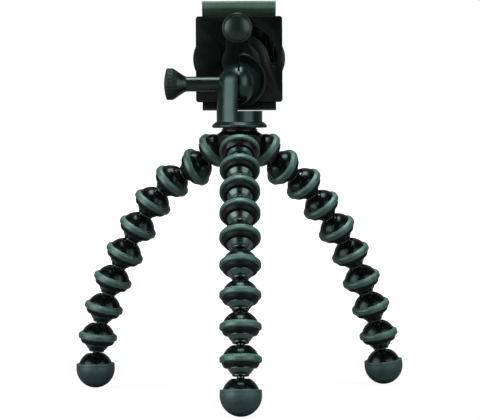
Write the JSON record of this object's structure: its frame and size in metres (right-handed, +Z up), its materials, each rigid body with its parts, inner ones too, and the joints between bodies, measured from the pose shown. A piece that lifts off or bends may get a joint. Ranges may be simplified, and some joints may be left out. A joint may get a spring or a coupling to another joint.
{
  "type": "flexible leg tripod",
  "caption": "Small tripod with flexible legs of ball-jointed ring links, ball feet, a tilting head and a turning spring clamp for a phone.",
  "frame": {"origin": "on the floor, straight below the middle of the hub", "axes": "+Z up, -Y along the front leg, +Y the way the phone screen faces, +X to the right seen from the front leg"},
  "size_m": [0.1941, 0.1763, 0.2271],
  "materials": {
    "link": "gloss",
    "foot": "matte",
    "hub": "gloss",
    "rubber": "matte",
    "steel": "brushed",
    "brass": "satin",
    "head": "satin",
    "clamp": "satin",
    "jaw": "matte",
    "washer": "matte"
  },
  "bodies": {
    "hub": {"hub_body": "hub", "hub_cones": "hub", "hub_rings": "rubber", "hub_screw": "steel", "hub_washer": "rubber", "mount_stud": "steel"},
    "front_link_1": {"front_link_1": "link"},
    "front_link_2": {"front_link_2": "link"},
    "front_link_3": {"front_link_3": "link"},
    "front_link_4": {"front_link_4": "link"},
    "front_link_5": {"front_link_5": "link"},
    "front_link_6": {"front_link_6": "link"},
    "front_link_7": {"front_link_7": "link"},
    "front_link_8": {"front_link_8": "link"},
    "front_foot": {"front_foot": "foot"},
    "left_link_1": {"left_link_1": "link"},
    "left_link_2": {"left_link_2": "link"},
    "left_link_3": {"left_link_3": "link"},
    "left_link_4": {"left_link_4": "link"},
    "left_link_5": {"left_link_5": "link"},
    "left_link_6": {"left_link_6": "link"},
    "left_link_7": {"left_link_7": "link"},
    "left_link_8": {"left_link_8": "link"},
    "left_foot": {"left_foot": "foot"},
    "right_link_1": {"right_link_1": "link"},
    "right_link_2": {"right_link_2": "link"},
    "right_link_3": {"right_link_3": "link"},
    "right_link_4": {"right_link_4": "link"},
    "right_link_5": {"right_link_5": "link"},
    "right_link_6": {"right_link_6": "link"},
    "right_link_7": {"right_link_7": "link"},
    "right_link_8": {"right_link_8": "link"},
    "right_foot": {"right_foot": "foot"},
    "stem": {"stem": "head", "stem_insert": "brass", "tilt_washer": "washer"},
    "tilt_knob": {"tilt_knob": "head", "tilt_bolt": "steel"},
    "bracket": {"tilt_bracket": "head", "tilt_nut": "steel", "friction_disc": "washer", "pivot_retainer": "steel", "pivot_screw": "steel", "lock_stud": "steel", "lock_washer": "washer"},
    "lock_knob": {"lock_knob": "head"},
    "clamp": {"clamp_plate": "clamp", "clamp_housing": "clamp", "housing_screws": "steel", "front_pad": "rubber", "lower_jaw": "jaw", "lower_jaw_pad": "rubber", "lower_jaw_screws": "steel", "spring_anchor": "steel", "jaw_springs": "steel"},
    "upper_jaw": {"upper_jaw": "jaw", "upper_jaw_pad": "rubber", "guide_rods": "steel"}
  },
  "joints": [
    {"name": "front_bend_1", "type": "hinge", "parent": "hub", "child": "front_link_1", "pos_m": [0, -0.02649, 0.13209], "axis": [1, 0, 0], "range_deg": [-22.46, 17.54]},
    {"name": "front_bend_2", "type": "hinge", "parent": "front_link_1", "child": "front_link_2", "pos_m": [0, -0.03959, 0.1201], "axis": [-1, 0, 0], "range_deg": [-26.7, 21.3]},
    {"name": "front_bend_3", "type": "hinge", "parent": "front_link_2", "child": "front_link_3", "pos_m": [0, -0.05324, 0.10874], "axis": [1, 0, 0], "range_deg": [-29.3, 18.7]},
    {"name": "front_bend_4", "type": "hinge", "parent": "front_link_3", "child": "front_link_4", "pos_m": [0, -0.06579, 0.09617], "axis": [-1, 0, 0], "range_deg": [-16.3, 31.7]},
    {"name": "front_bend_5", "type": "hinge", "parent": "front_link_4", "child": "front_link_5", "pos_m": [0, -0.07654, 0.08203], "axis": [1, 0, 0], "range_deg": [-32.8, 15.2]},
    {"name": "front_bend_6", "type": "hinge", "parent": "front_link_5", "child": "front_link_6", "pos_m": [0, -0.085, 0.06642], "axis": [-1, 0, 0], "range_deg": [-16.8, 31.2]},
    {"name": "front_bend_7", "type": "hinge", "parent": "front_link_6", "child": "front_link_7", "pos_m": [0, -0.09143, 0.04986], "axis": [1, 0, 0], "range_deg": [-29.6, 18.4]},
    {"name": "front_bend_8", "type": "hinge", "parent": "front_link_7", "child": "front_link_8", "pos_m": [0, -0.09622, 0.03276], "axis": [-1, 0, 0], "range_deg": [-19.9, 28.1]},
    {"name": "front_bend_9", "type": "hinge", "parent": "front_link_8", "child": "front_foot", "pos_m": [0, -0.09977, 0.01536], "axis": [1, 0, 0], "range_deg": [-27.6, 20.4]},
    {"name": "left_bend_1", "type": "hinge", "parent": "hub", "child": "left_link_1", "pos_m": [-0.02294, 0.01324, 0.13209], "axis": [-0.4099, -0.9121, 0], "range_deg": [-4.87, 35.13]},
    {"name": "left_bend_2", "type": "hinge", "parent": "left_link_1", "child": "left_link_2", "pos_m": [-0.03764, 0.01985, 0.12462], "axis": [0.4099, 0.9121, 0], "range_deg": [-6.1, 41.9]},
    {"name": "left_bend_3", "type": "hinge", "parent": "left_link_2", "child": "left_link_3", "pos_m": [-0.04953, 0.02519, 0.11256], "axis": [-0.4099, -0.9121, 0], "range_deg": [-36.8, 11.2]},
    {"name": "left_bend_4", "type": "hinge", "parent": "left_link_3", "child": "left_link_4", "pos_m": [-0.05868, 0.02931, 0.09791], "axis": [0.4099, 0.9121, 0], "range_deg": [-19.5, 28.5]},
    {"name": "left_bend_5", "type": "hinge", "parent": "left_link_4", "child": "left_link_5", "pos_m": [-0.06677, 0.03294, 0.08252], "axis": [-0.4099, -0.9121, 0], "range_deg": [-26.1, 21.9]},
    {"name": "left_bend_6", "type": "hinge", "parent": "left_link_5", "child": "left_link_6", "pos_m": [-0.07433, 0.03634, 0.06681], "axis": [0.4099, 0.9121, 0], "range_deg": [-17.1, 30.9]},
    {"name": "left_bend_7", "type": "hinge", "parent": "left_link_6", "child": "left_link_7", "pos_m": [-0.08011, 0.03894, 0.05022], "axis": [-0.4099, -0.9121, 0], "range_deg": [-30.3, 17.7]},
    {"name": "left_bend_8", "type": "hinge", "parent": "left_link_7", "child": "left_link_8", "pos_m": [-0.0842, 0.04078, 0.03304], "axis": [0.4099, 0.9121, 0], "range_deg": [-16.1, 31.9]},
    {"name": "left_bend_9", "type": "hinge", "parent": "left_link_8", "child": "left_foot", "pos_m": [-0.0861, 0.04163, 0.0154], "axis": [-0.4099, -0.9121, 0], "range_deg": [-31.9, 16.1]},
    {"name": "right_bend_1", "type": "hinge", "parent": "hub", "child": "right_link_1", "pos_m": [0.02294, 0.01324, 0.13209], "axis": [-0.5388, 0.8425, 0], "range_deg": [-12.24, 27.76]},
    {"name": "right_bend_2", "type": "hinge", "parent": "right_link_1", "child": "right_link_2", "pos_m": [0.03559, 0.02134, 0.12262], "axis": [0.5388, -0.8425, 0], "range_deg": [-10.9, 37.1]},
    {"name": "right_bend_3", "type": "hinge", "parent": "right_link_2", "child": "right_link_3", "pos_m": [0.04611, 0.02806, 0.10998], "axis": [-0.5388, 0.8425, 0], "range_deg": [-29.9, 18.1]},
    {"name": "right_bend_4", "type": "hinge", "parent": "right_link_3", "child": "right_link_4", "pos_m": [0.05548, 0.03405, 0.09613], "axis": [0.5388, -0.8425, 0], "range_deg": [-20.6, 27.4]},
    {"name": "right_bend_5", "type": "hinge", "parent": "right_link_4", "child": "right_link_5", "pos_m": [0.06414, 0.03959, 0.08165], "axis": [-0.5388, 0.8425, 0], "range_deg": [-32.6, 15.4]},
    {"name": "right_bend_6", "type": "hinge", "parent": "right_link_5", "child": "right_link_6", "pos_m": [0.07087, 0.0439, 0.06579], "axis": [0.5388, -0.8425, 0], "range_deg": [-20.1, 27.9]},
    {"name": "right_bend_7", "type": "hinge", "parent": "right_link_6", "child": "right_link_7", "pos_m": [0.07669, 0.04762, 0.04943], "axis": [-0.5388, 0.8425, 0], "range_deg": [-27.1, 20.9]},
    {"name": "right_bend_8", "type": "hinge", "parent": "right_link_7", "child": "right_link_8", "pos_m": [0.08174, 0.05085, 0.03271], "axis": [0.5388, -0.8425, 0], "range_deg": [-16.8, 31.2]},
    {"name": "right_bend_9", "type": "hinge", "parent": "right_link_8", "child": "right_foot", "pos_m": [0.085, 0.05293, 0.01538], "axis": [-0.5388, 0.8425, 0], "range_deg": [-30.6, 17.4]},
    {"name": "pan", "type": "hinge", "parent": "hub", "child": "stem", "pos_m": [0, 0, 0.155], "axis": [0, 0, 1], "range_deg": [-180, 180]},
    {"name": "tilt", "type": "hinge", "parent": "stem", "child": "bracket", "pos_m": [0, 0, 0.1788], "axis": [1, 0, 0], "range_deg": [-6, 90]},
    {"name": "tilt_knob_turn", "type": "hinge", "parent": "stem", "child": "tilt_knob", "pos_m": [-0.02, 0, 0.1788], "axis": [1, 0, 0], "range_deg": [-180, 0]},
    {"name": "clamp_turn", "type": "hinge", "parent": "bracket", "child": "clamp", "pos_m": [0.001, 0.0186, 0.1917], "axis": [0, -1, 0], "range_deg": [0, 90]},
    {"name": "lock_knob_turn", "type": "hinge", "parent": "bracket", "child": "lock_knob", "pos_m": [-0.00101, 0.006, 0.21079], "axis": [0, 1, 0], "range_deg": [-180, 0]},
    {"name": "jaw_slide", "type": "slide", "parent": "clamp", "child": "upper_jaw", "axis": [0, 0, 1], "range_m": [0, 0.035], "stiffness_N_per_m": 120, "springref_m": -0.02, "deforming": ["jaw_springs"]}
  ]
}
